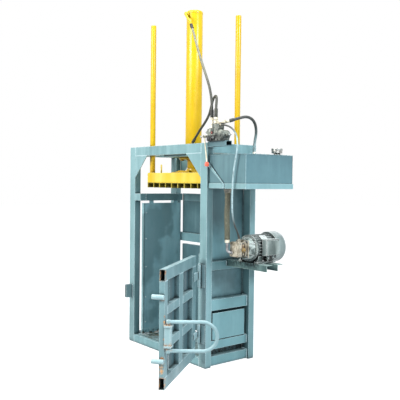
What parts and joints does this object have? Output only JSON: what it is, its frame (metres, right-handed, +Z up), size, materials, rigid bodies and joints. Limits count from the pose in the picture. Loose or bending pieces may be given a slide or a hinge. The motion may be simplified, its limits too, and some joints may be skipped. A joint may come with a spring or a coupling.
{
  "type": "recycling baler",
  "caption": "Open-front vertical baler with a swinging lattice door, a guided platen under a tall cylinder, and a side-mounted tank, motor, pump and valve",
  "frame": {"origin": "centre of the four-post frame, on the floor", "axes": "+Z up along the cylinder; -Y towards the feed side and front door; +X towards the side that carries the tank, motor and valve"},
  "size_m": [1.7989, 1.3843, 2.976],
  "materials": {
    "frame_paint": "semi-gloss blue-green enamel",
    "press_paint": "semi-gloss yellow enamel",
    "motor_paint": "grey-green enamel over castings",
    "bare_steel": "ground and plated steel",
    "pump_metal": "cast, slightly stained",
    "fitting_metal": "bright plated fittings",
    "valve_metal": "grey painted casting",
    "lever_paint": "cream rod with a red grip",
    "hose_rubber": "black hose",
    "suction_rubber": "olive brown suction hose"
  },
  "bodies": {
    "frame": {"posts_front": "frame_paint", "posts_rear": "frame_paint", "top_beams": "frame_paint", "gussets": "frame_paint", "base_beams": "frame_paint", "floor_plate": "frame_paint", "press_seat_plate": "frame_paint", "guide_bushes": "frame_paint", "rail_left": "frame_paint", "wall_left": "frame_paint", "wall_right": "frame_paint", "side_beams": "frame_paint", "side_panel_low": "frame_paint", "door_jamb": "frame_paint", "rear_beams": "frame_paint", "rear_panel": "frame_paint", "keepers": "frame_paint", "hinges_fixed": "frame_paint", "tank_shell": "frame_paint", "tank_lid": "frame_paint", "tank_shelf": "frame_paint", "motor_arms": "frame_paint", "valve_shelf": "frame_paint", "barrel": "press_paint", "gland_flange": "press_paint", "cylinder_ports": "press_paint", "motor_body": "motor_paint", "motor_bells": "motor_paint", "motor_cowl": "motor_paint", "terminal_box": "motor_paint", "hinge_pins": "bare_steel", "pump_body": "pump_metal", "power_fittings": "fitting_metal", "valve_fittings": "fitting_metal", "breather": "fitting_metal", "valve_body": "valve_metal", "hose_a": "hose_rubber", "hose_b": "hose_rubber", "hose_c": "hose_rubber", "hose_d": "hose_rubber", "hose_e": "suction_rubber"},
    "press": {"piston_rod": "bare_steel", "guide_rods": "press_paint", "platen_body": "press_paint", "platen_ribs": "press_paint", "platen_saddle": "press_paint"},
    "door": {"door_rails": "frame_paint", "door_uprights": "frame_paint", "door_bars": "frame_paint", "door_strips": "frame_paint", "door_pegs": "frame_paint", "door_hinge_leaves": "frame_paint", "latch_bearing": "frame_paint"},
    "handle": {"latch_handle": "frame_paint"},
    "rear_door": {"rear_door_sheet": "frame_paint", "rear_door_frame": "frame_paint"},
    "rear_latch": {"rear_latch_bar": "frame_paint"},
    "rotor": {"motor_rotor": "bare_steel"},
    "lever": {"valve_lever": "lever_paint"}
  },
  "joints": [
    {"name": "press_slide", "type": "slide", "parent": "frame", "child": "press", "axis": [0, 0, -1], "range_m": [0, 1]},
    {"name": "door_hinge", "type": "hinge", "parent": "frame", "child": "door", "pos_m": [0.496, -0.28, 0.5], "axis": [0, 0, 1], "range_deg": [-126.8, 25]},
    {"name": "handle_hinge", "type": "hinge", "parent": "door", "child": "handle", "pos_m": [1.02037, -0.96424, 0.4616], "axis": [0, 0, 1], "range_deg": [-104.2, 60]},
    {"name": "rear_door_hinge", "type": "hinge", "parent": "frame", "child": "rear_door", "pos_m": [0.4835, 0.28, 0.5], "axis": [0, 0, -1], "range_deg": [0, 110]},
    {"name": "rear_latch_hinge", "type": "hinge", "parent": "rear_door", "child": "rear_latch", "pos_m": [-0.35, 0.281, 0.5], "axis": [0, 1, 0], "range_deg": [-90, 0]},
    {"name": "motor_shaft", "type": "hinge", "parent": "frame", "child": "rotor", "pos_m": [0.78, 0.1, 0.97], "axis": [0, 1, 0], "continuous": true},
    {"name": "lever_hinge", "type": "hinge", "parent": "frame", "child": "lever", "pos_m": [0.552, -0.289, 1.846], "axis": [0, 1, 0], "range_deg": [-14, 14], "stiffness_Nm_per_rad": 6}
  ]
}
